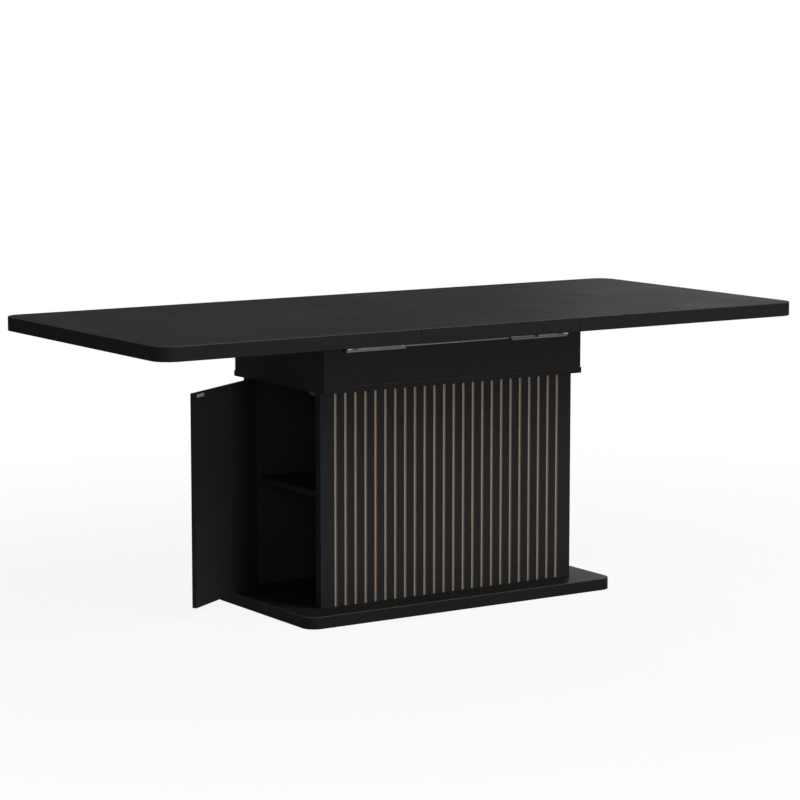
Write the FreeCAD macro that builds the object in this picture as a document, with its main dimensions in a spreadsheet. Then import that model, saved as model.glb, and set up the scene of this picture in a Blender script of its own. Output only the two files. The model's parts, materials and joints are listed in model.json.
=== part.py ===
import FreeCAD, Part
import Sketcher
import math
import os
import re

# Extending dining table on a storage pedestal, pulled out with its centre leaf in place.
# Lengths are in millimetres. X runs along the table, Y to the rear and Z up.
# The origin lies on the floor, below the middle of the tabletop.

sizes = {
    # Tabletop
    "top_length": 2000.0,
    "top_width": 880.0,
    "top_thickness": 38.0,
    "table_height": 780.0,
    "leaf_length": 500.0,
    "seam_gap": 1.0,
    "top_corner_radius": 50.0,
    "top_edge_radius": 2.0,
    "batten_width": 40.0,
    "batten_thickness": 20.0,
    "batten_inset": 90.0,
    "batten_play": 1.5,
    # Plinth
    "plinth_end_overhang": 87.0,
    "plinth_side_overhang": 85.5,
    "plinth_height": 32.0,
    "plinth_corner_radius": 36.0,
    "plinth_edge_radius": 2.0,
    "plinth_seam": 1.0,
    # Cabinet
    "cabinet_length": 806.0,
    "cabinet_depth": 393.0,
    "panel_thickness": 24.0,
    "groove_width": 8.0,
    "groove_depth": 4.0,
    "groove_end": 46.5,
    "groove_count": 24.0,
    "cut_overrun": 1.0,
    "fit_limit": 0.001,
    "divider_thickness": 16.0,
    "shelf_thickness": 16.0,
    "shelf_height": 281.0,
    "shelf_recess": 33.0,
    "shelf_play": 0.5,
    "shelf_pin_diameter": 5.0,
    "shelf_pin_length": 16.0,
    "shelf_pin_depth": 8.0,
    "shelf_pin_inset": 40.0,
    # Apron
    "apron_height": 124.5,
    "apron_end_overhang": 10.0,
    "apron_side_overhang": 34.0,
    "apron_thickness": 16.0,
    "apron_reveal": 2.0,
    "board_thickness": 16.0,
    "board_edge_radius": 1.5,
    "felt_thickness": 1.5,
    "felt_width": 10.0,
    "felt_inset": 30.0,
    # Doors
    "door_thickness": 12.0,
    "door_gap": 1.5,
    "door_angle": 58.0,
    "pivot_inset": 10.0,
    "pivot_diameter": 6.0,
    "pivot_play": 0.05,
    "pivot_depth": 20.0,
    "pivot_socket": 8.0,
    "pivot_end_room": 0.5,
    "collar_diameter": 10.0,
    "striker_length": 36.0,
    "striker_height": 9.0,
    "striker_thickness": 1.5,
    "striker_edge": 14.0,
    "striker_drop": 3.0,
    "catch_gap": 0.5,
    "catch_length": 44.0,
    "catch_width": 15.0,
    "catch_height": 14.0,
    # Extension slides
    "rail_sheet": 1.5,
    "rail_depth": 6.6,
    "slide_drop": 5.0,
    "slide_height": 31.0,
    "slide_standoff": 1.0,
    "channel_depth": 7.0,
    "carriage_length": 182.0,
    "carriage_flange": 2.0,
    "carriage_web": 1.5,
    "lip_sheet": 0.6,
    "lip_height": 1.2,
    "race_room": 2.6,
    "liner_sheet": 0.8,
    "liner_play": 0.1,
    "liner_margin": 8.0,
    "runner_length": 99.0,
    "runner_inset": 3.0,
    "runner_sheet": 1.5,
    "runner_gap": 0.5,
    "runner_flange": 20.0,
}

# Sizes that follow from others: the pedestal takes up the height that the top and the apron leave,
# the plinth and the apron stand out round the cabinet, and a carriage ends where its runner ends.
derived = {
    "apron_level": "table_height - top_thickness - felt_thickness - apron_height",
    "cabinet_height": "apron_level - board_thickness - plinth_height",
    "plinth_length": "cabinet_length + 2 * plinth_end_overhang",
    "plinth_width": "cabinet_depth + 2 * plinth_side_overhang",
    "apron_length": "cabinet_length + 2 * apron_end_overhang",
    "apron_width": "cabinet_depth + 2 * apron_side_overhang",
    "groove_pitch": "(cabinet_length - 2 * groove_end) / (groove_count - 1)",
    "runner_start": "leaf_length / 2 + seam_gap + runner_inset",
    "runner_end": "runner_start + runner_length",
    "carriage_start": "runner_end - carriage_length",
    "rail_length": "2 * runner_end",
}

doc = FreeCAD.newDocument("dining_table")
sheet = doc.addObject("Spreadsheet::Sheet", "Sizes")
for row, (alias, value) in enumerate(sizes.items(), 1):
    sheet.set("A%d" % row, alias)
    sheet.set("B%d" % row, str(value))
    sheet.setAlias("B%d" % row, alias)
doc.recompute()

nodes = []


def formula(text):
    # Names of sizes become references to the sheet's cells, and derived ones their own formulas.
    def cell(found):
        name = found.group(0)
        if name in derived:
            return "(%s)" % formula(derived[name])
        return "Sizes." + name if name in sizes else name
    return re.sub(r"[a-z][a-z_]*", cell, text)


def bind(item, path, text):
    item.setExpression(path, formula(text))


def keep(item, label):
    item.Label = label
    nodes.append(item)
    return item


def board(label, x, y, z):
    # A plain board between two places along each axis.
    item = doc.addObject("Part::Box", label)
    spans = (("Length", "x", x), ("Width", "y", y), ("Height", "z", z))
    for path, axis, (start, end) in spans:
        bind(item, path, "(%s) - (%s)" % (end, start))
        bind(item, "Placement.Base." + axis, start)
    return keep(item, label)


def origin_plane(body, role):
    for feature in body.Origin.OriginFeatures:
        if feature.Role == role:
            return feature
    raise ValueError(role)


def outline(body, role, points, name):
    # A closed polygon whose corners are fixed to the sketch axes by formulas.
    sketch = body.newObject("Sketcher::SketchObject", name)
    sketch.AttachmentSupport = [(origin_plane(body, role), "")]
    sketch.MapMode = "FlatFace"
    count = len(points)
    turn = 2 * math.pi / count
    places = [FreeCAD.Vector(math.cos(turn * i), math.sin(turn * i), 0) for i in range(count)]
    for i in range(count):
        sketch.addGeometry(Part.LineSegment(places[i], places[(i + 1) % count]), False)
    for i in range(count):
        sketch.addConstraint(Sketcher.Constraint("Coincident", i, 2, (i + 1) % count, 1))
    for i, point in enumerate(points):
        for kind, axis, text in zip(("DistanceX", "DistanceY"), (-2, -1), point):
            if text == "0":
                sketch.addConstraint(Sketcher.Constraint("PointOnObject", i, 1, axis))
                continue
            place = getattr(places[i], "x" if axis == -2 else "y")
            index = sketch.addConstraint(Sketcher.Constraint(kind, -1, 1, i, 1, place))
            bind(sketch, "Constraints[%d]" % index, text)
    return sketch


def prism(label, role, points, depth, place):
    # A body padded from one outline, with its origin at the given place.
    body = doc.addObject("PartDesign::Body", label)
    pad = body.newObject("PartDesign::Pad", label + "_pad")
    pad.Profile = outline(body, role, points, label + "_outline")
    bind(pad, "Length", depth)
    body.Tip = pad
    for axis, text in zip("xyz", place):
        if text != "0":
            bind(body, "Placement.Base." + axis, text)
    keep(body, label)
    doc.recompute()
    return body


def oblong(x, y):
    return [(x[0], y[0]), (x[1], y[0]), (x[1], y[1]), (x[0], y[1])]


def round_edges(body, name, radius, test):
    # Rounds the edges of the body's last feature that pass the test.
    base = body.Tip
    names = ["Edge%d" % i for i, edge in enumerate(base.Shape.Edges, 1) if test(edge)]
    if not names:
        raise ValueError("no edges for " + name)
    fillet = body.newObject("PartDesign::Fillet", name)
    fillet.Base = (base, names)
    bind(fillet, "Radius", radius)
    body.Tip = fillet
    doc.recompute()


def bore(body, name, radius, depth, place, turned=False):
    # A round hole, upright or turned so that it runs along Y.
    before = body.Shape.Volume
    hole = body.newObject("PartDesign::SubtractiveCylinder", name)
    bind(hole, "Radius", radius)
    bind(hole, "Height", depth)
    if turned:
        hole.Placement = FreeCAD.Placement(FreeCAD.Vector(), across_turn)
    for axis, text in zip("xyz", place):
        bind(hole, "Placement.Base." + axis, text)
    body.Tip = hole
    doc.recompute()
    if body.Shape.Volume >= before:
        raise ValueError("nothing cut by " + name)


def flat(edge):
    box = edge.BoundBox
    return box.ZLength < sizes["fit_limit"]


def upright(edge):
    box = edge.BoundBox
    return box.XLength < sizes["fit_limit"] and box.YLength < sizes["fit_limit"]


def mirrored(sign, low, high):
    # The span from low to high, or its mirror image.
    return ("-(%s)" % high, "-(%s)" % low) if sign else (low, high)


# Levels and faces that several pieces share
top_underside = "(table_height - top_thickness)"
apron_top = "(table_height - top_thickness - felt_thickness)"
cabinet_top = "(plinth_height + cabinet_height)"
apron_foot = "(plinth_height + cabinet_height + board_thickness)"
apron_face = "(apron_width / 2 - apron_reveal)"
apron_end = "(apron_length / 2 - apron_reveal)"
apron_inside = "(apron_width / 2 - apron_reveal - apron_thickness)"
cabinet_inside = "(cabinet_depth / 2 - panel_thickness)"
cabinet_end = "(cabinet_length / 2)"
shelf_level = "(plinth_height + shelf_height)"
pivot_across = "(cabinet_length / 2 - door_thickness / 2)"
pivot_along = "(cabinet_depth / 2 - panel_thickness - door_gap - pivot_inset)"

# Turns of a piece's own frame: onto the Y axis, and about the upright
across_turn = FreeCAD.Rotation(FreeCAD.Vector(1, 0, 0), -90)
upright_turn = FreeCAD.Rotation(FreeCAD.Vector(0, 0, 1), 1)

sides = {"left": "-", "right": ""}
walls = {"front": "-", "rear": ""}

# Tabletop: two halves with rounded outer corners, and the leaf between them
half_start = "leaf_length / 2 + seam_gap"
top_depth = ("-top_width / 2", "top_width / 2")
for side, sign in sides.items():
    label = "top_" + side
    span = mirrored(sign, half_start, "top_length / 2")
    body = prism(label, "XY_Plane", oblong(span, top_depth), "top_thickness", ("0", "0", top_underside))
    outer = sizes["leaf_length"] / 2 + sizes["top_corner_radius"]
    round_edges(body, label + "_corners", "top_corner_radius",
                lambda edge: upright(edge) and abs(edge.CenterOfMass.x) > outer)
    round_edges(body, label + "_edges", "top_edge_radius", flat)

leaf = prism("leaf", "XY_Plane", oblong(("-leaf_length / 2", "leaf_length / 2"), top_depth), "top_thickness",
             ("0", "0", top_underside))
round_edges(leaf, "leaf_edges", "top_edge_radius", flat)

# Battens under the leaf drop between the front and rear apron panels and locate it.
for side, sign in sides.items():
    span = mirrored(sign, "leaf_length / 2 - batten_inset - batten_width", "leaf_length / 2 - batten_inset")
    reach = apron_inside + " - batten_play"
    board("leaf_batten_" + side, span, ("-(%s)" % reach, reach),
          (top_underside + " - batten_thickness", top_underside))

# Plinth: two halves that meet under the middle of the cabinet, bored for the lower door pivots
for side, sign in sides.items():
    label = "plinth_" + side
    span = mirrored(sign, "plinth_seam / 2", "plinth_length / 2")
    depth = ("-plinth_width / 2", "plinth_width / 2")
    body = prism(label, "XY_Plane", oblong(span, depth), "plinth_height", ("0", "0", "0"))
    round_edges(body, label + "_corners", "plinth_corner_radius",
                lambda edge: upright(edge) and abs(edge.CenterOfMass.x) > sizes["plinth_corner_radius"])
    middle = sizes["plinth_height"] / 2
    round_edges(body, label + "_edges", "plinth_edge_radius",
                lambda edge: flat(edge) and edge.CenterOfMass.z > middle)
    bore(body, label + "_socket", "pivot_diameter / 2 + pivot_play",
         "pivot_socket + pivot_end_room + cut_overrun",
         (sign + pivot_across, pivot_along, "plinth_height - pivot_socket - pivot_end_room"))

# Cabinet: long panels with upright grooves on their outer faces
for wall, sign in walls.items():
    label = "panel_" + wall
    depth = mirrored(sign, cabinet_inside, "cabinet_depth / 2")
    body = prism(label, "XY_Plane", oblong(("-" + cabinet_end, cabinet_end), depth), "cabinet_height",
                 ("0", "0", "plinth_height"))
    solid_volume = body.Shape.Volume
    first = "-groove_pitch * (groove_count - 1) / 2"
    cut = mirrored(sign, "cabinet_depth / 2 - groove_depth", "cabinet_depth / 2 + cut_overrun")
    groove = body.newObject("PartDesign::Pocket", label + "_groove")
    groove.Profile = outline(body, "XY_Plane",
                             oblong((first + " - groove_width / 2", first + " + groove_width / 2"), cut),
                             label + "_groove_outline")
    groove.Type = "ThroughAll"
    groove.Reversed = True
    body.Tip = groove
    doc.recompute()
    grooves = body.newObject("PartDesign::LinearPattern", label + "_grooves")
    grooves.Originals = [groove]
    grooves.Direction = (origin_plane(body, "X_Axis"), [""])
    bind(grooves, "Length", "groove_pitch * (groove_count - 1)")
    bind(grooves, "Occurrences", "groove_count")
    body.Tip = grooves
    doc.recompute()
    if body.Shape.Volume >= solid_volume:
        raise ValueError("no grooves in " + label)
    for side, mark in sides.items():
        for end, place in (("inner", "divider_thickness / 2 + shelf_play + shelf_pin_inset"),
                           ("outer", "cabinet_length / 2 - shelf_recess - shelf_pin_inset")):
            start = mirrored(sign, cabinet_inside, cabinet_inside + " + shelf_pin_depth")[0]
            bore(body, "%s_hole_%s_%s" % (label, side, end), "shelf_pin_diameter / 2", "shelf_pin_depth",
                 ("%s(%s)" % (mark, place), start, "shelf_height - shelf_pin_diameter / 2"), True)
            pin = doc.addObject("Part::Cylinder", "shelf_pin_%s_%s_%s" % (wall, side, end))
            pin.Placement = FreeCAD.Placement(FreeCAD.Vector(), across_turn)
            bind(pin, "Radius", "shelf_pin_diameter / 2")
            bind(pin, "Height", "shelf_pin_length")
            seat = mirrored(sign, cabinet_inside + " + shelf_pin_depth - shelf_pin_length",
                            cabinet_inside + " + shelf_pin_depth")[0]
            bind(pin, "Placement.Base.x", "%s(%s)" % (mark, place))
            bind(pin, "Placement.Base.y", seat)
            bind(pin, "Placement.Base.z", shelf_level + " - shelf_pin_diameter / 2")
            keep(pin, pin.Name)

inside = ("-" + cabinet_inside, cabinet_inside)
board("divider", ("-divider_thickness / 2", "divider_thickness / 2"), inside, ("plinth_height", cabinet_top))
for side, sign in sides.items():
    span = mirrored(sign, "divider_thickness / 2 + shelf_play", "cabinet_length / 2 - shelf_recess")
    reach = cabinet_inside + " - shelf_play"
    board("shelf_" + side, span, ("-(%s)" % reach, reach), (shelf_level, shelf_level + " + shelf_thickness"))

# Apron: a lower board, bored for the upper door pivots, and a frame of four panels set back on it
apron_board = prism("apron_board", "XY_Plane",
                    oblong(("-apron_length / 2", "apron_length / 2"), ("-apron_width / 2", "apron_width / 2")),
                    "board_thickness", ("0", "0", cabinet_top))
round_edges(apron_board, "apron_board_edges", "board_edge_radius", flat)
for side, sign in sides.items():
    bore(apron_board, "apron_board_socket_" + side, "pivot_diameter / 2 + pivot_play",
         "pivot_socket + pivot_end_room + cut_overrun", (sign + pivot_across, pivot_along, "-cut_overrun"))
for wall, sign in walls.items():
    board("apron_" + wall, ("-" + apron_end, apron_end), mirrored(sign, apron_inside, apron_face),
          (apron_foot, apron_top))
for side, sign in sides.items():
    board("apron_" + side, mirrored(sign, apron_end + " - apron_thickness", apron_end),
          ("-" + apron_inside, apron_inside), (apron_foot, apron_top))
for wall, sign in walls.items():
    middle = "(apron_width / 2 - apron_reveal - apron_thickness / 2)"
    depth = mirrored(sign, middle + " - felt_width / 2", middle + " + felt_width / 2")
    reach = "(leaf_length / 2 - felt_inset)"
    board("felt_" + wall, ("-" + reach, reach), depth, (apron_top, top_underside))

# Doors: each turns on a pin at its top and bottom and has a rounded edge at the pivot.
# The left one stands open.
door_width = "(cabinet_depth - 2 * panel_thickness - 2 * door_gap)"
door_height = "(cabinet_height - 2 * door_gap)"
for side, sign in sides.items():
    label = "door_" + side
    place = (sign + pivot_across, pivot_along, "plinth_height + door_gap")
    round_centre = "(pivot_inset - door_thickness / 2)"
    free_edge = "(pivot_inset - %s)" % door_width
    door = prism(label, "XY_Plane",
                 oblong(("-door_thickness / 2", "door_thickness / 2"), (free_edge, round_centre)),
                 door_height, place)
    edge = door.newObject("PartDesign::AdditiveCylinder", label + "_round_edge")
    bind(edge, "Radius", "door_thickness / 2")
    bind(edge, "Height", door_height)
    bind(edge, "Placement.Base.y", round_centre)
    door.Tip = edge
    doc.recompute()
    bore(door, label + "_lower_hole", "pivot_diameter / 2", "pivot_depth + cut_overrun",
         ("0 * pivot_depth", "0 * pivot_depth", "-cut_overrun"))
    bore(door, label + "_upper_hole", "pivot_diameter / 2", "pivot_depth + cut_overrun",
         ("0 * pivot_depth", "0 * pivot_depth", door_height + " - pivot_depth"))

    inward = "" if sign else "-"
    face = mirrored(inward, "door_thickness / 2", "door_thickness / 2 + striker_thickness")
    free = (free_edge + " + striker_edge", free_edge + " + striker_edge + striker_length")
    striker_foot = cabinet_top + " - door_gap - striker_drop - striker_height"
    striker = prism("striker_" + side, "XY_Plane", oblong(face, free), "striker_height",
                    (place[0], place[1], striker_foot))
    if sign:
        for item in (door, striker):
            item.Placement = FreeCAD.Placement(item.Placement.Base, upright_turn)
            bind(item, "Placement.Rotation.Angle", "-door_angle")

    for end, base, low, collar_base in (
            ("lower", "plinth_height", "plinth_height - pivot_socket", "plinth_height"),
            ("upper", cabinet_top, cabinet_top + " - door_gap - pivot_depth", cabinet_top + " - door_gap")):
        stem = doc.addObject("Part::Cylinder", "pivot_%s_%s_stem" % (end, side))
        bind(stem, "Radius", "pivot_diameter / 2")
        bind(stem, "Height", "pivot_socket + door_gap + pivot_depth")
        collar = doc.addObject("Part::Cylinder", "pivot_%s_%s_collar" % (end, side))
        bind(collar, "Radius", "collar_diameter / 2")
        bind(collar, "Height", "door_gap")
        for item, level in ((stem, low), (collar, collar_base)):
            bind(item, "Placement.Base.x", place[0])
            bind(item, "Placement.Base.y", place[1])
            bind(item, "Placement.Base.z", level)
        pin = doc.addObject("Part::Fuse", "pivot_%s_%s" % (end, side))
        pin.Base = stem
        pin.Tool = collar
        keep(pin, pin.Name)

    catch_face = "(cabinet_length / 2 - door_thickness - striker_thickness - catch_gap)"
    catch_middle = "(-%s + door_gap + striker_edge + striker_length / 2)" % cabinet_inside
    board("catch_" + side, mirrored(sign, catch_face + " - catch_width", catch_face),
          (catch_middle + " - catch_length / 2", catch_middle + " + catch_length / 2"),
          (cabinet_top + " - catch_height", cabinet_top))

# Extension slides: each carriage has a channel towards the apron, round the fixed rail, and one away from it,
# round the runner under a half of the top. A polymer liner fills the room between the flanges of each channel.
carriage_top = "(table_height - top_thickness - slide_drop)"
carriage_foot = "(table_height - top_thickness - slide_drop - slide_height)"
race_top = "(table_height - top_thickness - slide_drop - carriage_flange)"
race_foot = "(table_height - top_thickness - slide_drop - slide_height + carriage_flange)"
rail_top = "(%s - race_room)" % race_top
rail_foot = "(%s + race_room)" % race_foot

# Distances from the apron: the web of a carriage lies midway, and both its channels are alike.
web_near = "(slide_standoff + channel_depth)"
web_far = "(slide_standoff + channel_depth + carriage_web)"
carriage_far = "(slide_standoff + 2 * channel_depth + carriage_web)"
runner_tip = "(2 * slide_standoff + 2 * channel_depth + carriage_web - rail_depth)"
runner_web = "(%s + runner_gap)" % carriage_far
runner_back = "(%s + runner_gap + runner_sheet)" % carriage_far


def section(sign, points):
    # A slide section: distance from the apron's face, and height.
    return [("%s(%s + %s)" % (sign, apron_face, out), up) for out, up in points]


def liner_section(lip, tip, back, web):
    # A liner from the lip of the carriage, past the tip of the rail or runner, to the web of the carriage.
    return [
        (web, race_top), (lip, race_top),
        (lip, rail_top + " + liner_play"), (tip, rail_top + " + liner_play"),
        (tip, rail_top + " + lip_height + liner_play"), (back, rail_top + " + lip_height + liner_play"),
        (back, rail_foot + " - lip_height - liner_play"), (tip, rail_foot + " - lip_height - liner_play"),
        (tip, rail_foot + " - liner_play"), (lip, rail_foot + " - liner_play"),
        (lip, race_foot), (web, race_foot),
    ]


rail_section = [
    ("0", rail_foot), ("rail_depth - lip_sheet", rail_foot),
    ("rail_depth - lip_sheet", rail_foot + " - lip_height"), ("rail_depth", rail_foot + " - lip_height"),
    ("rail_depth", rail_foot + " + rail_sheet"), ("rail_sheet", rail_foot + " + rail_sheet"),
    ("rail_sheet", rail_top + " - rail_sheet"), ("rail_depth", rail_top + " - rail_sheet"),
    ("rail_depth", rail_top + " + lip_height"), ("rail_depth - lip_sheet", rail_top + " + lip_height"),
    ("rail_depth - lip_sheet", rail_top), ("0", rail_top),
]
near_lip = "slide_standoff + lip_sheet"
far_lip = carriage_far + " - lip_sheet"
carriage_section = [
    ("slide_standoff", carriage_foot), (carriage_far, carriage_foot),
    (carriage_far, race_foot + " + lip_height"), (far_lip, race_foot + " + lip_height"),
    (far_lip, race_foot), (web_far, race_foot),
    (web_far, race_top), (far_lip, race_top),
    (far_lip, race_top + " - lip_height"), (carriage_far, race_top + " - lip_height"),
    (carriage_far, carriage_top), ("slide_standoff", carriage_top),
    ("slide_standoff", race_top + " - lip_height"), (near_lip, race_top + " - lip_height"),
    (near_lip, race_top), (web_near, race_top),
    (web_near, race_foot), (near_lip, race_foot),
    (near_lip, race_foot + " + lip_height"), ("slide_standoff", race_foot + " + lip_height"),
]
near_section = liner_section(near_lip + " + liner_play", "rail_depth - lip_sheet - liner_play",
                             web_near + " - liner_sheet", web_near)
far_section = liner_section(far_lip + " - liner_play", runner_tip + " + lip_sheet + liner_play",
                            web_far + " + liner_sheet", web_far)
tip_lip = runner_tip + " + lip_sheet"
runner_section = [
    (runner_tip, rail_foot + " - lip_height"), (tip_lip, rail_foot + " - lip_height"),
    (tip_lip, rail_foot), (runner_back, rail_foot),
    (runner_back, top_underside + " - runner_sheet"),
    (runner_back + " + runner_flange", top_underside + " - runner_sheet"),
    (runner_back + " + runner_flange", top_underside), (runner_web, top_underside),
    (runner_web, rail_top), (tip_lip, rail_top),
    (tip_lip, rail_top + " + lip_height"), (runner_tip, rail_top + " + lip_height"),
    (runner_tip, rail_top + " - rail_sheet"), (runner_web, rail_top + " - rail_sheet"),
    (runner_web, rail_foot + " + rail_sheet"), (runner_tip, rail_foot + " + rail_sheet"),
]
inner_length = "(carriage_length - 2 * liner_margin)"
outer_length = "(runner_length - 2 * liner_margin)"
for wall, out in walls.items():
    prism("rail_" + wall, "YZ_Plane", section(out, rail_section), "rail_length", ("-rail_length / 2", "0", "0"))
    for side, sign in sides.items():
        name = "%s_%s" % (wall, side)
        carriage = mirrored(sign, "carriage_start", "runner_end")[0]
        prism("carriage_" + name, "YZ_Plane", section(out, carriage_section), "carriage_length",
              (carriage, "0", "0"))
        inner = mirrored(sign, "carriage_start + liner_margin", "runner_end - liner_margin")
        prism("liner_inner_" + name, "YZ_Plane", section(out, near_section), inner_length, (inner[0], "0", "0"))
        outer = mirrored(sign, "runner_start + liner_margin", "runner_end - liner_margin")
        prism("liner_outer_" + name, "YZ_Plane", section(out, far_section), outer_length, (outer[0], "0", "0"))
        runner = mirrored(sign, "runner_start", "runner_end")[0]
        prism("runner_" + name, "YZ_Plane", section(out, runner_section), "runner_length", (runner, "0", "0"))

doc.recompute()
for item in doc.Objects:
    if "Invalid" in item.State or "Error" in item.State:
        raise RuntimeError("%s did not build: %s" % (item.Label, item.State))
for item in nodes:
    if item.Shape.isNull() or not item.Shape.isValid() or len(item.Shape.Solids) != 1:
        raise RuntimeError(item.Label + " is not one valid solid")

os.makedirs("parts", exist_ok=True)
for item in nodes:
    item.Shape.exportStep(os.path.join("parts", item.Label + ".step"))
print(len(nodes), "pieces")
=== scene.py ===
import bpy
import bmesh
import json
import math
from mathutils import Matrix, Vector


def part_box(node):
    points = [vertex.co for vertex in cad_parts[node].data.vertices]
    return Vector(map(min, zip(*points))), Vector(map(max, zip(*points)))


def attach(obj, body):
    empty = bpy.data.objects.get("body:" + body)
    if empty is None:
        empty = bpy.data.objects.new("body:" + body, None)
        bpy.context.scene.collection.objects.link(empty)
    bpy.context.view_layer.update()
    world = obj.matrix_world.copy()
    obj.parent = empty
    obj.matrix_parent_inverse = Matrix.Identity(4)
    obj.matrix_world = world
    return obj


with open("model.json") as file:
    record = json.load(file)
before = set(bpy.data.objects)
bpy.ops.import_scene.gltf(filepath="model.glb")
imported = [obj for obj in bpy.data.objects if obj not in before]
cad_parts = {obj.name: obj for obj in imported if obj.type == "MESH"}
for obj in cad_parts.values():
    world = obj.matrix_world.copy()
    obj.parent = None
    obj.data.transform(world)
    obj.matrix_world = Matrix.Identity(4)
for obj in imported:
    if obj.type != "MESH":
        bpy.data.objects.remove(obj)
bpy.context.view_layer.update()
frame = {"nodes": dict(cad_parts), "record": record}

nodes = frame["nodes"]
scene = bpy.context.scene
scene.view_settings.view_transform = "Standard"
print("frame loaded:", len(nodes), "nodes")


# node helpers

def addNode(tree, kind, inputs=None, **settings):
    node = tree.nodes.new(kind)
    for name, value in settings.items():
        setattr(node, name, value)
    for name, value in (inputs or {}).items():
        node.inputs[name].default_value = value
    return node


def join(tree, source, target):
    tree.links.new(source, target)


def newGroup(name, inputs, outputs):
    tree = bpy.data.node_groups.new(name, "ShaderNodeTree")
    for label, kind, value in inputs:
        socket = tree.interface.new_socket(name=label, in_out="INPUT", socket_type=kind)
        if value is not None:
            socket.default_value = value
    for label, kind in outputs:
        tree.interface.new_socket(name=label, in_out="OUTPUT", socket_type=kind)
    return tree, tree.nodes.new("NodeGroupInput"), tree.nodes.new("NodeGroupOutput")


def placeGroup(tree, group, **values):
    node = tree.nodes.new("ShaderNodeGroup")
    node.node_tree = group
    for name, value in values.items():
        node.inputs[name].default_value = value
    return node


def newMaterial(name, **values):
    material = bpy.data.materials.new(name)
    material.use_nodes = True
    shader = material.node_tree.nodes["Principled BSDF"]
    for label, value in values.items():
        shader.inputs[label.replace("_", " ")].default_value = value
    return material, material.node_tree, shader


def objectPoint(tree):
    return addNode(tree, "ShaderNodeTexCoord").outputs["Object"]


def maths(tree, operation, *values):
    node = addNode(tree, "ShaderNodeMath", operation=operation)
    for index, value in enumerate(values):
        if isinstance(value, (int, float)):
            node.inputs[index].default_value = value
        else:
            join(tree, value, node.inputs[index])
    return node.outputs[0]


noiseSpan = (0.3, 0.7)  # most of a noise texture's values lie between these


def spread(tree, value, low, high, start=noiseSpan[0], end=noiseSpan[1]):
    node = addNode(tree, "ShaderNodeMapRange",
                   {"From Min": start, "From Max": end, "To Min": low, "To Max": high})
    join(tree, value, node.inputs["Value"])
    return node.outputs["Result"]


def stretched(tree, entry):
    node = addNode(tree, "ShaderNodeVectorMath", operation="MULTIPLY")
    join(tree, entry.outputs["Vector"], node.inputs[0])
    join(tree, entry.outputs["Stretch"], node.inputs[1])
    return node.outputs[0]


# shared effects

grain = {"pores": {"Detail": 3.0, "Roughness": 0.6}, "clouds": {"Detail": 4.0, "Roughness": 0.55},
         "fibre": {"Scale": 60.0, "Detail": 5.0, "Roughness": 0.6}, "poreHeight": 0.6, "shade": (0.9, 1.1)}


def pressedGrain():
    # pressed laminate skin: fine pores, a faint cloudiness and a hint of long grain
    tree, entry, leave = newGroup(
        "pressedGrain",
        [("Vector", "NodeSocketVector", None), ("Pore Scale", "NodeSocketFloat", 900.0),
         ("Cloud Scale", "NodeSocketFloat", 9.0), ("Stretch", "NodeSocketVector", (1, 1, 1))],
        [("Shade", "NodeSocketFloat"), ("Cloud", "NodeSocketFloat"), ("Height", "NodeSocketFloat")])
    pores = addNode(tree, "ShaderNodeTexNoise", grain["pores"])
    join(tree, entry.outputs["Vector"], pores.inputs["Vector"])
    join(tree, entry.outputs["Pore Scale"], pores.inputs["Scale"])
    clouds = addNode(tree, "ShaderNodeTexNoise", grain["clouds"])
    join(tree, entry.outputs["Vector"], clouds.inputs["Vector"])
    join(tree, entry.outputs["Cloud Scale"], clouds.inputs["Scale"])
    fibre = addNode(tree, "ShaderNodeTexNoise", grain["fibre"])
    join(tree, stretched(tree, entry), fibre.inputs["Vector"])
    height = maths(tree, "MULTIPLY_ADD", pores.outputs["Fac"], grain["poreHeight"], fibre.outputs["Fac"])
    join(tree, spread(tree, fibre.outputs["Fac"], *grain["shade"]), leave.inputs["Shade"])
    join(tree, clouds.outputs["Fac"], leave.inputs["Cloud"])
    join(tree, height, leave.inputs["Height"])
    return tree


marks = {"lines": {"Scale": 45.0, "Detail": 4.0, "Roughness": 0.7},
         "bloom": {"Scale": 140.0, "Randomness": 1.0}}


def drawnMarks():
    # draw lines and plating bloom on rolled metal
    tree, entry, leave = newGroup(
        "drawnMarks",
        [("Vector", "NodeSocketVector", None), ("Stretch", "NodeSocketVector", (1, 40, 40))],
        [("Lines", "NodeSocketFloat"), ("Bloom", "NodeSocketFloat")])
    lines = addNode(tree, "ShaderNodeTexNoise", marks["lines"])
    join(tree, stretched(tree, entry), lines.inputs["Vector"])
    bloom = addNode(tree, "ShaderNodeTexVoronoi", marks["bloom"])
    join(tree, entry.outputs["Vector"], bloom.inputs["Vector"])
    split = addNode(tree, "ShaderNodeSeparateColor")
    join(tree, bloom.outputs["Color"], split.inputs[0])
    join(tree, lines.outputs["Fac"], leave.inputs["Lines"])
    join(tree, split.outputs[0], leave.inputs["Bloom"])
    return tree


# painted highlight along upper rounded edges, broken up in patches
edgeHighlightLook = {"lean": (0.05, 0.3), "patch": {"Detail": 3.0}, "uneven": (0.6, 1.0)}


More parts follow.
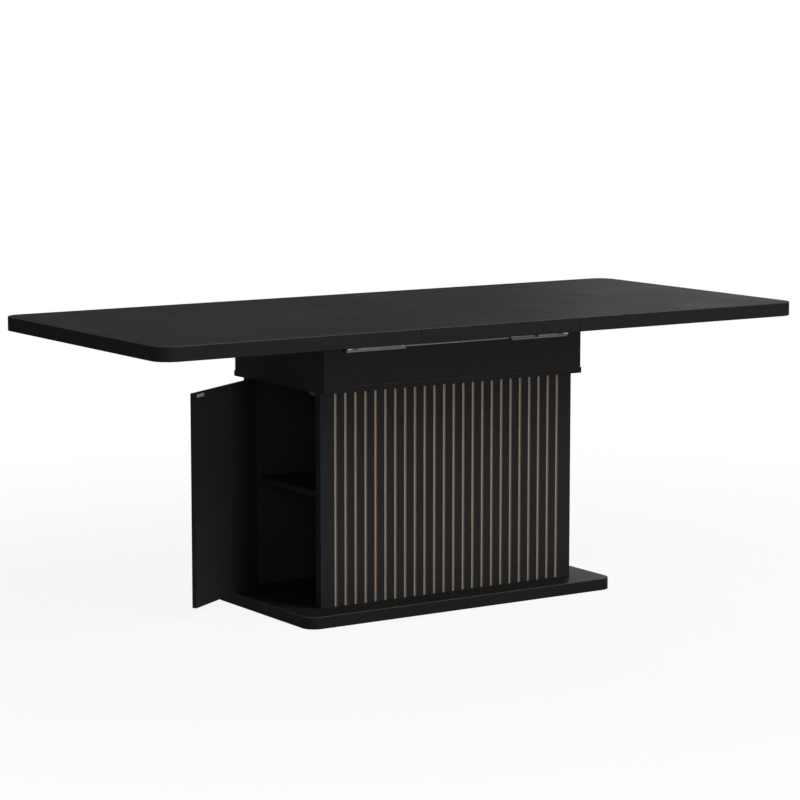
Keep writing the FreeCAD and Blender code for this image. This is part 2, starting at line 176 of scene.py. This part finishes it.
def paintedEdgeHighlight():
    # painted highlight: upper edges rounded over between a flat and an upright face are drawn lighter, where
    # light from above catches them
    tree, entry, leave = newGroup(
        "paintedEdgeHighlight",
        [("Vector", "NodeSocketVector", None), ("Patch Scale", "NodeSocketFloat", 25.0)],
        [("Mask", "NodeSocketFloat")])
    normal = addNode(tree, "ShaderNodeNewGeometry").outputs["True Normal"]
    facing = addNode(tree, "ShaderNodeSeparateXYZ")
    join(tree, normal, facing.inputs[0])
    level = addNode(tree, "ShaderNodeVectorMath", {1: (1, 1, 0)}, operation="MULTIPLY")
    join(tree, normal, level.inputs[0])
    across = addNode(tree, "ShaderNodeVectorMath", operation="LENGTH")
    join(tree, level.outputs[0], across.inputs[0])
    # highest where a face leans up at 45 degrees, nothing on flat and upright ones
    rise = maths(tree, "MAXIMUM", facing.outputs["Z"], 0.0)
    lean = maths(tree, "MULTIPLY", rise, across.outputs["Value"])
    patch = addNode(tree, "ShaderNodeTexNoise", edgeHighlightLook["patch"])
    join(tree, entry.outputs["Vector"], patch.inputs["Vector"])
    join(tree, entry.outputs["Patch Scale"], patch.inputs["Scale"])
    mask = maths(tree, "MULTIPLY", spread(tree, lean, 0.0, 1.0, *edgeHighlightLook["lean"]),
                 spread(tree, patch.outputs["Fac"], *edgeHighlightLook["uneven"]))
    join(tree, mask, leave.inputs["Mask"])
    return tree


grainGroup = pressedGrain()
drawnGroup = drawnMarks()
# this group paints a highlight on upper rounded edges
edgeHighlightGroup = paintedEdgeHighlight()
print("shared effects: grain, drawn marks and rubbed edges")


# finishes; each bump is a strength and a depth

def tint(tree, colour, amount):
    node = addNode(tree, "ShaderNodeVectorMath", {0: colour}, operation="SCALE")
    join(tree, amount, node.inputs["Scale"])
    return node.outputs[0]


def bumpFrom(tree, shader, height, strength, depth):
    bump = addNode(tree, "ShaderNodeBump", {"Strength": strength, "Distance": depth})
    join(tree, height, bump.inputs["Height"])
    join(tree, bump.outputs["Normal"], shader.inputs["Normal"])


def placeGrain(tree, look, point):
    node = placeGroup(tree, grainGroup, **{"Pore Scale": look["pores"], "Cloud Scale": look["clouds"],
                                           "Stretch": look["stretch"]})
    join(tree, point, node.inputs["Vector"])
    return node


def laminate(name, look):
    material, tree, shader = newMaterial(name, Specular_IOR_Level=look["specular"])
    point = objectPoint(tree)
    skin = placeGrain(tree, look, point)
    # painted highlight: upward-leaning rounded edges are mixed towards a lighter colour
    edge = placeGroup(tree, edgeHighlightGroup)
    join(tree, point, edge.inputs["Vector"])
    colour = addNode(tree, "ShaderNodeMix", data_type="RGBA")
    join(tree, edge.outputs["Mask"], colour.inputs["Factor"])
    join(tree, tint(tree, look["colour"], skin.outputs["Shade"]), colour.inputs["A"])
    colour.inputs["B"].default_value = look["highlighted"]
    join(tree, colour.outputs["Result"], shader.inputs["Base Color"])
    join(tree, spread(tree, skin.outputs["Cloud"], *look["roughness"]), shader.inputs["Roughness"])
    bumpFrom(tree, shader, skin.outputs["Height"], *look["bump"])
    return material


# each look's edge colour below is a painted highlight on its upper rounded edges
topLook = {"colour": (0.015, 0.015, 0.0154), "specular": 0.002, "roughness": (0.48, 0.54),
           "pores": 1100.0, "clouds": 7.0, "stretch": (0.4, 12.0, 12.0), "bump": (0.12, 0.0002),
           "highlighted": (0.07, 0.07, 0.07, 1)}
carcassLook = {"colour": (0.0172, 0.0172, 0.0177), "specular": 0.005, "roughness": (0.52, 0.58),
               "pores": 1000.0, "clouds": 8.0, "stretch": (12.0, 12.0, 0.4), "bump": (0.12, 0.0002),
               "highlighted": (0.055, 0.055, 0.055, 1)}
plinthLook = {"colour": (0.0128, 0.0128, 0.0131), "specular": 0.007, "roughness": (0.36, 0.42),
              "pores": 1000.0, "clouds": 8.0, "stretch": (0.4, 12.0, 12.0), "bump": (0.08, 0.0002),
              "highlighted": (0.055, 0.055, 0.055, 1)}
topLaminate = laminate("topLaminate", topLook)
carcassLaminate = laminate("carcassLaminate", carcassLook)
plinthLaminate = laminate("plinthLaminate", plinthLook)

panelLook = {"core": (0.275, 0.221, 0.171), "specular": 0.005, "pitch": 0.031, "first": -0.3565,
             "width": 0.008, "face": 0.1965, "depth": 0.004, "reach": 0.362, "slack": 0.0003, "skin": 0.0002,
             "fleck": {"Scale": 420.0, "Detail": 4.0, "Roughness": 0.7}, "fleckShade": (0.86, 1.12),
             "addedRoughness": 0.3}


def groovedPanel(name, look, faceLook):
    material, tree, shader = newMaterial(name, Specular_IOR_Level=look["specular"])
    point = objectPoint(tree)
    skin = placeGrain(tree, faceLook, point)
    axes = addNode(tree, "ShaderNodeSeparateXYZ")
    join(tree, point, axes.inputs[0])

    # core shows where a point lies in a groove: near a groove's middle, and behind the face
    start = look["first"] - look["pitch"] / 2
    along = maths(tree, "DIVIDE", maths(tree, "SUBTRACT", axes.outputs["X"], start), look["pitch"])
    offMiddle = maths(tree, "ABSOLUTE", maths(tree, "SUBTRACT", maths(tree, "FRACT", along), 0.5))
    inGroove = maths(tree, "LESS_THAN", offMiddle, (look["width"] / 2 + look["slack"]) / look["pitch"])
    inReach = maths(tree, "LESS_THAN", maths(tree, "ABSOLUTE", axes.outputs["X"]), look["reach"])
    deep = maths(tree, "ABSOLUTE", axes.outputs["Y"])
    behindFace = maths(tree, "LESS_THAN", deep, look["face"] - look["skin"])
    beforeFloor = maths(tree, "GREATER_THAN", deep, look["face"] - look["depth"] - look["slack"])
    core = maths(tree, "MULTIPLY", maths(tree, "MULTIPLY", inGroove, inReach),
                 maths(tree, "MULTIPLY", behindFace, beforeFloor))

    fleck = addNode(tree, "ShaderNodeTexNoise", look["fleck"])
    join(tree, point, fleck.inputs["Vector"])
    coreColour = tint(tree, look["core"], spread(tree, fleck.outputs["Fac"], *look["fleckShade"]))
    colour = addNode(tree, "ShaderNodeMix", data_type="RGBA")
    join(tree, core, colour.inputs["Factor"])
    join(tree, tint(tree, faceLook["colour"], skin.outputs["Shade"]), colour.inputs["A"])
    join(tree, coreColour, colour.inputs["B"])
    join(tree, colour.outputs["Result"], shader.inputs["Base Color"])
    rough = maths(tree, "MULTIPLY_ADD", core, look["addedRoughness"],
                  spread(tree, skin.outputs["Cloud"], *faceLook["roughness"]))
    join(tree, rough, shader.inputs["Roughness"])
    bumpFrom(tree, shader, skin.outputs["Height"], *faceLook["bump"])
    return material


grooveFinish = groovedPanel("groovedPanel", panelLook, carcassLook)


def metal(name, look):
    material, tree, shader = newMaterial(name, Metallic=1.0)
    drawn = placeGroup(tree, drawnGroup, Stretch=look["stretch"])
    join(tree, objectPoint(tree), drawn.inputs["Vector"])
    bloom = spread(tree, drawn.outputs["Bloom"], *look["bloom"], start=0.0, end=1.0)
    join(tree, tint(tree, look["colour"], bloom), shader.inputs["Base Color"])
    join(tree, spread(tree, drawn.outputs["Lines"], *look["roughness"]), shader.inputs["Roughness"])
    bumpFrom(tree, shader, drawn.outputs["Lines"], *look["bump"])
    return material


zincLook = {"colour": (0.105, 0.105, 0.108), "roughness": (0.32, 0.46), "stretch": (1.0, 40.0, 40.0),
            "bloom": (0.86, 1.08), "bump": (0.08, 0.0002)}
pinLook = {"colour": (0.3, 0.3, 0.3), "roughness": (0.22, 0.34), "stretch": (30.0, 30.0, 1.0),
           "bloom": (0.86, 1.08), "bump": (0.05, 0.0002)}
nickelLook = {"colour": (0.7, 0.57, 0.5), "roughness": (0.56, 0.66), "stretch": (40.0, 40.0, 1.0),
              "bloom": (0.86, 1.08), "bump": (0.05, 0.0002)}
zincSteel = metal("zincSteel", zincLook)
pinSteel = metal("pinSteel", pinLook)
nickelPlate = metal("nickelPlate", nickelLook)


def moulded(name, look):
    material, tree, shader = newMaterial(name, Specular_IOR_Level=look["specular"])
    spark = addNode(tree, "ShaderNodeTexNoise", look["spark"])
    join(tree, objectPoint(tree), spark.inputs["Vector"])
    shade = spread(tree, spark.outputs["Fac"], *look["shade"])
    join(tree, tint(tree, look["colour"], shade), shader.inputs["Base Color"])
    join(tree, spread(tree, spark.outputs["Fac"], *look["roughness"]), shader.inputs["Roughness"])
    bumpFrom(tree, shader, spark.outputs["Fac"], *look["bump"])
    return material


linerLook = {"colour": (0.03, 0.03, 0.031), "specular": 0.4, "roughness": (0.45, 0.6), "shade": (0.9, 1.1),
             "spark": {"Scale": 700.0, "Detail": 3.0}, "bump": (0.15, 0.0003)}
catchLook = {"colour": (0.02, 0.02, 0.021), "specular": 0.35, "roughness": (0.4, 0.55), "shade": (0.9, 1.1),
             "spark": {"Scale": 900.0, "Detail": 3.0}, "bump": (0.2, 0.0003)}
feltLook = {"colour": (0.03, 0.03, 0.032), "specular": 0.1, "roughness": (0.85, 1.0), "shade": (0.9, 1.1),
            "spark": {"Scale": 1600.0, "Detail": 3.0}, "bump": (0.8, 0.0003)}
linerPlastic = moulded("linerPlastic", linerLook)
catchPlastic = moulded("catchPlastic", catchLook)
feltStrip = moulded("feltStrip", feltLook)


def planedWood(name, look):
    material, tree, shader = newMaterial(name, Specular_IOR_Level=look["specular"])
    stretch = addNode(tree, "ShaderNodeMapping", {"Scale": look["stretch"]})
    join(tree, objectPoint(tree), stretch.inputs["Vector"])
    rings = addNode(tree, "ShaderNodeTexNoise", look["rings"])
    join(tree, stretch.outputs["Vector"], rings.inputs["Vector"])
    ramp = addNode(tree, "ShaderNodeValToRGB")
    for element, (position, colour) in zip(ramp.color_ramp.elements, (look["late"], look["early"])):
        element.position = position
        element.color = colour
    join(tree, rings.outputs["Fac"], ramp.inputs["Fac"])
    join(tree, ramp.outputs["Color"], shader.inputs["Base Color"])
    join(tree, spread(tree, rings.outputs["Fac"], *look["roughness"]), shader.inputs["Roughness"])
    bumpFrom(tree, shader, rings.outputs["Fac"], *look["bump"])
    return material


battenLook = {"specular": 0.3, "stretch": (9.0, 0.5, 9.0), "roughness": (0.5, 0.68), "bump": (0.2, 0.0004),
              "rings": {"Scale": 12.0, "Detail": 6.0, "Distortion": 0.6},
              "late": (0.35, (0.33, 0.2, 0.1, 1)), "early": (0.6, (0.56, 0.4, 0.24, 1))}
battenWood = planedWood("battenWood", battenLook)

finishes = {
    "top_laminate": topLaminate, "carcass_laminate": carcassLaminate, "grooved_panel": grooveFinish,
    "batten_wood": battenWood, "slide_steel": zincSteel, "liner_plastic": linerPlastic, "pin_steel": pinSteel,
    "striker_plate": nickelPlate, "catch_plastic": catchPlastic, "felt": feltStrip,
}
plinthFinish = {"plinth_left": plinthLaminate, "plinth_right": plinthLaminate}  # smoother than the carcass
for row in frame["record"]["subparts"]:
    piece = nodes[row["node"]]
    piece.data.materials.clear()
    piece.data.materials.append(plinthFinish.get(row["node"], finishes[row["material_slot"]]))
print("finishes:", len(finishes))


# fasteners

def inOrder(group, place):
    # the order that an inset leaves can change from run to run; sorted, it stays the same
    rank = {item: index for index, item in enumerate(sorted(group, key=place))}
    group.sort(key=lambda item: rank[item])
    group.index_update()


def toMesh(build, name, material, body):
    mesh = bpy.data.meshes.new(name)
    bmesh.ops.recalc_face_normals(build, faces=build.faces)
    inOrder(build.verts, lambda v: tuple(v.co))
    inOrder(build.edges, lambda e: sorted(v.index for v in e.verts))
    inOrder(build.faces, lambda f: sorted(v.index for v in f.verts))
    build.to_mesh(mesh)
    build.free()
    piece = bpy.data.objects.new(name, mesh)
    scene.collection.objects.link(piece)
    mesh.materials.append(material)
    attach(piece, body)


def seat(build, earlier, place, outward, along):
    # what was made upright at the origin goes to its face, its length turned along the slide
    outward, along = Vector(outward), Vector(along)
    turn = Matrix((along, outward.cross(along), outward)).transposed().to_4x4()
    made = [v for v in build.verts if v not in earlier]
    bmesh.ops.transform(build, verts=made, matrix=Matrix.Translation(place) @ turn)


def upperFace(build, earlier):
    faces = {f for v in build.verts if v not in earlier for f in v.link_faces}
    return max(faces, key=lambda f: (round(f.calc_center_median().z, 6), f.calc_area()))


# the head's parts as shares of its radius or height
screwHead = {"sides": 20, "taper": 0.92, "crown": 0.45, "crownSteps": 3, "rim": 0.22, "recess": 0.55,
             "draw": 0.6}


def addScrew(build, look, place, outward):
    # pan head with a drive recess, seated on a face
    radius, height = look["radius"], look["height"]
    earlier = set(build.verts)
    made = bmesh.ops.create_cone(build, cap_ends=True, segments=screwHead["sides"], radius1=radius,
                                 radius2=radius * screwHead["taper"], depth=height)["verts"]
    bmesh.ops.translate(build, verts=made, vec=(0, 0, height / 2))
    top = upperFace(build, earlier)
    bmesh.ops.bevel(build, geom=list(top.edges), offset=height * screwHead["crown"],
                    segments=screwHead["crownSteps"], affect="EDGES", profile=0.5, material=-1)
    top = upperFace(build, earlier)
    bmesh.ops.inset_individual(build, faces=[top], thickness=radius * screwHead["rim"])
    sunk = bmesh.ops.extrude_discrete_faces(build, faces=[top])["faces"][0]
    bmesh.ops.translate(build, verts=sunk.verts, vec=(0, 0, -height * screwHead["recess"]))
    bmesh.ops.scale(build, verts=sunk.verts, vec=(screwHead["draw"], screwHead["draw"], 1.0))
    seat(build, earlier, place, outward, (1, 0, 0))


walls = {"front": -1, "rear": 1}  # which way each one faces along Y, and along X
sides = {"left": -1, "right": 1}

railScrew = {"radius": 0.0042, "height": 0.0019, "places": (-0.12, 0.0, 0.12), "web": 0.0015}
for wall, sign in walls.items():
    low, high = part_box("rail_" + wall)
    face = (high.y if sign < 0 else low.y) + sign * railScrew["web"]
    build = bmesh.new()
    for x in railScrew["places"]:
        addScrew(build, railScrew, Vector((x, face, (low.z + high.z) / 2)), (0, sign, 0))
    toMesh(build, "railScrews_" + wall, pinSteel, "base")

runnerScrew = {"radius": 0.004, "height": 0.0018, "inset": 0.016, "sheet": 0.0015, "reach": 0.01}
for side in sides:
    for wall, sign in walls.items():
        low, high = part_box("runner_%s_%s" % (wall, side))
        y = low.y + runnerScrew["reach"] if sign < 0 else high.y - runnerScrew["reach"]
        build = bmesh.new()
        for x in (low.x + runnerScrew["inset"], (low.x + high.x) / 2, high.x - runnerScrew["inset"]):
            addScrew(build, runnerScrew, Vector((x, y, high.z - runnerScrew["sheet"])), (0, 0, -1))
        toMesh(build, "runnerScrews_%s_%s" % (wall, side), pinSteel, "top_" + side)

catchScrew = {"radius": 0.0028, "height": 0.0013, "inset": 0.007}
for side in sides:
    low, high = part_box("catch_" + side)
    build = bmesh.new()
    for y in (low.y + catchScrew["inset"], high.y - catchScrew["inset"]):
        addScrew(build, catchScrew, Vector(((low.x + high.x) / 2, y, low.z)), (0, 0, -1))
    toMesh(build, "catchScrews_" + side, pinSteel, "base")
print("fasteners: rails, runners and catches")


# slide stops

roundSteps = 3  # segments of a rounded corner or edge


def addStop(build, look, place, outward, along):
    # pressed plate with round corners, a sunk field and a lip turned up at one end
    earlier = set(build.verts)
    made = bmesh.ops.create_grid(build, x_segments=1, y_segments=1, size=0.5)["verts"]
    bmesh.ops.scale(build, verts=made, vec=(look["length"], look["height"], 1.0))
    bmesh.ops.bevel(build, geom=made, offset=look["corner"], segments=roundSteps, affect="VERTICES",
                    profile=0.5, material=-1)
    raised = bmesh.ops.extrude_face_region(build, geom=[upperFace(build, earlier)])["geom"]
    bmesh.ops.translate(build, verts=[g for g in raised if isinstance(g, bmesh.types.BMVert)],
                        vec=(0, 0, look["sheet"]))
    made = [v for v in build.verts if v not in earlier]
    whole = made + list({e for v in made for e in v.link_edges}) + list({f for v in made for f in v.link_faces})
    bmesh.ops.bisect_plane(build, geom=whole, plane_co=(look["length"] / 2 - look["bend"], 0, 0),
                           plane_no=(1, 0, 0))
    field = upperFace(build, earlier)
    beside = (f for e in field.edges for f in e.link_faces if f is not field)
    strip = max(beside, key=lambda f: f.normal.z)
    lip = bmesh.ops.extrude_discrete_faces(build, faces=[strip])["faces"][0]
    bmesh.ops.translate(build, verts=lip.verts, vec=(0, 0, look["lip"]))
    bmesh.ops.inset_individual(build, faces=[field], thickness=look["rim"])
    bmesh.ops.translate(build, verts=field.verts, vec=(0, 0, -look["sunk"]))
    seat(build, earlier, place, outward, along)


def addBuffer(build, look, place, outward, along):
    # rubber pad with round edges and a dished face
    earlier = set(build.verts)
    made = bmesh.ops.create_cube(build, size=1.0)["verts"]
    bmesh.ops.scale(build, verts=made, vec=(look["length"], look["height"], look["rise"]))
    bmesh.ops.translate(build, verts=made, vec=(0, 0, look["rise"] / 2))
    bmesh.ops.bevel(build, geom=list({e for v in made for e in v.link_edges}), offset=look["round"],
                    segments=roundSteps, affect="EDGES", profile=0.5, material=-1)
    face = upperFace(build, earlier)
    bmesh.ops.inset_individual(build, faces=[face], thickness=look["round"])
    bmesh.ops.translate(build, verts=face.verts, vec=(0, 0, -look["dish"]))
    seat(build, earlier, place, outward, along)


runnerStop = {"length": 0.014, "height": 0.009, "sheet": 0.0012, "corner": 0.0018, "bend": 0.0026,
              "lip": 0.0022, "rim": 0.0012, "sunk": 0.0006, "fromEnd": 0.0078, "level": 0.0065, "flange": 0.02}
runnerBuffer = {"length": 0.012, "height": 0.007, "rise": 0.0018, "round": 0.0007, "dish": 0.00045,
                "fromEnd": 0.0268}
carriageStop = {"length": 0.013, "height": 0.019, "sheet": 0.0012, "corner": 0.0018, "bend": 0.0026,
                "lip": 0.0042, "rim": 0.0012, "sunk": 0.0006, "fromEnd": 0.0072, "channel": 0.007}
carriageBuffer = {"length": 0.006, "height": 0.013, "rise": 0.0052, "round": 0.0009, "dish": 0.0013,
                  "fromEnd": 0.0172}


def addPair(kind, name, body, stop, buffer, end, inward, face, level, outward, along):
    # both stand on the slide's face, measured inwards from its end
    for label, add, look, material, slot in (("Stop", addStop, stop, pinSteel, "pin_steel"),
                                             ("Buffer", addBuffer, buffer, catchPlastic, "catch_plastic")):
        build = bmesh.new()
        add(build, look, Vector((end + inward * look["fromEnd"], face, level)), outward, along)
        toMesh(build, "%s%s_%s" % (kind, label, name), material, body)


for side, outside in sides.items():
    for wall, sign in walls.items():
        name = "%s_%s" % (wall, side)
        outward, along = (0, sign, 0), (outside, 0, 0)
        low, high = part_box("runner_" + name)
        end = low.x if outside < 0 else high.x
        face = low.y + runnerStop["flange"] if sign < 0 else high.y - runnerStop["flange"]
        addPair("runner", name, "top_" + side, runnerStop, runnerBuffer, end, -outside, face,
                low.z + runnerStop["level"], outward, along)
        low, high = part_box("carriage_" + name)
        end = high.x if outside < 0 else low.x
        face = low.y + carriageStop["channel"] if sign < 0 else high.y - carriageStop["channel"]
        addPair("carriage", name, "carriage_" + name, carriageStop, carriageBuffer, end, outside, face,
                (low.z + high.z) / 2, outward, along)
print("slide stops: runners and carriages")


# studio

studio = {"floorColour": (0.72, 0.72, 0.72, 1), "floorRoughness": 0.9, "floorGlow": 0.9,
          "shadowReach": (1.0, 3.0), "floorSize": 60.0, "ambient": 0.12}


def seenDirectly(tree):
    # camera, mirrored and see-through rays meet the plain white surroundings
    path = addNode(tree, "ShaderNodeLightPath")
    seen = path.outputs["Is Camera Ray"]
    for label in ("Is Glossy Ray", "Is Transmission Ray"):
        seen = maths(tree, "MAXIMUM", seen, path.outputs[label])
    return seen


def makeFloor():
    build = bmesh.new()
    bmesh.ops.create_grid(build, x_segments=1, y_segments=1, size=studio["floorSize"])
    mesh = bpy.data.meshes.new("studioFloor")
    build.to_mesh(mesh)
    build.free()
    floor = bpy.data.objects.new("studioFloor", mesh)
    scene.collection.objects.link(floor)
    material, tree, shader = newMaterial("floorPaper", Roughness=studio["floorRoughness"],
                                         Specular_IOR_Level=0.0)
    shader.inputs["Base Color"].default_value = studio["floorColour"]
    glow = addNode(tree, "ShaderNodeEmission", {"Strength": 1.0})
    mix = addNode(tree, "ShaderNodeMixShader")
    # the paper fades to plain white outside the shadow's reach
    away = addNode(tree, "ShaderNodeVectorMath", operation="LENGTH")
    join(tree, objectPoint(tree), away.inputs[0])
    near, far = studio["shadowReach"]
    fade = addNode(tree, "ShaderNodeMapRange",
                   {"From Min": near, "From Max": far, "To Min": studio["floorGlow"], "To Max": 1.0},
                   interpolation_type="SMOOTHSTEP")
    join(tree, away.outputs["Value"], fade.inputs["Value"])
    join(tree, maths(tree, "MULTIPLY", seenDirectly(tree), fade.outputs["Result"]), mix.inputs["Fac"])
    join(tree, shader.outputs[0], mix.inputs[1])
    join(tree, glow.outputs[0], mix.inputs[2])
    join(tree, mix.outputs[0], tree.nodes["Material Output"].inputs["Surface"])
    mesh.materials.append(material)


def makeWorld():
    world = bpy.data.worlds.new("studioWorld")
    scene.world = world
    world.use_nodes = True
    tree = world.node_tree
    shader = tree.nodes["Background"]
    shader.inputs["Color"].default_value = (1, 1, 1, 1)
    # a dim room lights the object, and the backdrop is white wherever it is seen
    level = spread(tree, seenDirectly(tree), studio["ambient"], 1.0, 0.0, 1.0)
    join(tree, level, shader.inputs["Strength"])


def addLamp(name, look):
    data = bpy.data.lights.new(name, "AREA")
    data.shape = "RECTANGLE"
    data.size, data.size_y = look["size"]
    data.energy = look["power"]
    lamp = bpy.data.objects.new(name, data)
    lamp.location = look["place"]
    aim = Vector(look["aim"]) - Vector(look["place"])
    lamp.rotation_euler = aim.to_track_quat("-Z", "Y").to_euler()
    lamp.visible_camera = False
    scene.collection.objects.link(lamp)


lamps = {
    "keyLamp": {"size": (3.0, 2.4), "power": 225.0, "place": (2.0, -3.6, 4.8), "aim": (0, 0, 0.5)},
    "fillLamp": {"size": (2.0, 2.4), "power": 72.0, "place": (-4.0, -5.2, 1.7), "aim": (-0.4, 0, 0.4)},
    "frontLamp": {"size": (2.0, 1.6), "power": 105.0, "place": (1.0, -6.2, 1.1), "aim": (-0.2, 0, 0.4)},
    "rearLamp": {"size": (2.4, 2.0), "power": 70.0, "place": (-1.0, 6.0, 2.0), "aim": (0, 0, 0.5)},
    "sideLamp": {"size": (3.0, 2.4), "power": 60.0, "place": (4.5, 3.0, 2.2), "aim": (0, 0, 0.6)},
}
makeFloor()
makeWorld()
for name, look in lamps.items():
    addLamp(name, look)

camera = {"place": (-4.134, -6.2578, 1.5505), "yaw": 33.273, "pitch": 7.753, "lens": 125.18, "sensor": 36.0,
          "clip": (0.1, 100.0)}
data = bpy.data.cameras.new("photoCamera")
data.sensor_width = camera["sensor"]
data.lens = camera["lens"]
data.clip_start, data.clip_end = camera["clip"]
eye = bpy.data.objects.new("photoCamera", data)
eye.location = camera["place"]
eye.rotation_euler = (math.radians(90 - camera["pitch"]), 0, -math.radians(camera["yaw"]))
scene.collection.objects.link(eye)
scene.camera = eye
print("studio: floor, world, lamps and camera")

bpy.context.view_layer.update()
